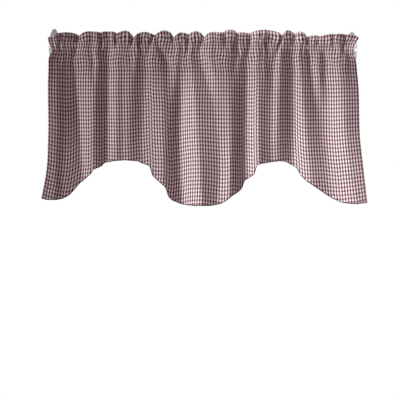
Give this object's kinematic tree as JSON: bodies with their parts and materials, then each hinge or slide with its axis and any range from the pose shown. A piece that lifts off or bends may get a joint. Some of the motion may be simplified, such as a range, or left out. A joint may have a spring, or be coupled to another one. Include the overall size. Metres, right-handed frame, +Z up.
{
  "type": "scalloped window valance on a curtain rod",
  "caption": "Gingham window valance with a ruffled heading and scalloped hem, gathered on a rod between two oval wall brackets.",
  "frame": {"origin": "the point of the wall plane midway between the two wall plates, at the height of the rod's axis", "axes": "+X along the rod to the right as seen from the room, +Y into the wall, +Z up"},
  "size_m": [1.0757, 0.092, 0.5896],
  "materials": {
    "cloth": "woven plum and off-white gingham, matt",
    "rod_paint": "white satin paint",
    "bracket_paint": "white, satin"
  },
  "bodies": {
    "root": {"valance": "cloth", "rod": "rod_paint", "bracket_left": "bracket_paint", "bracket_right": "bracket_paint"}
  },
  "joints": []
}
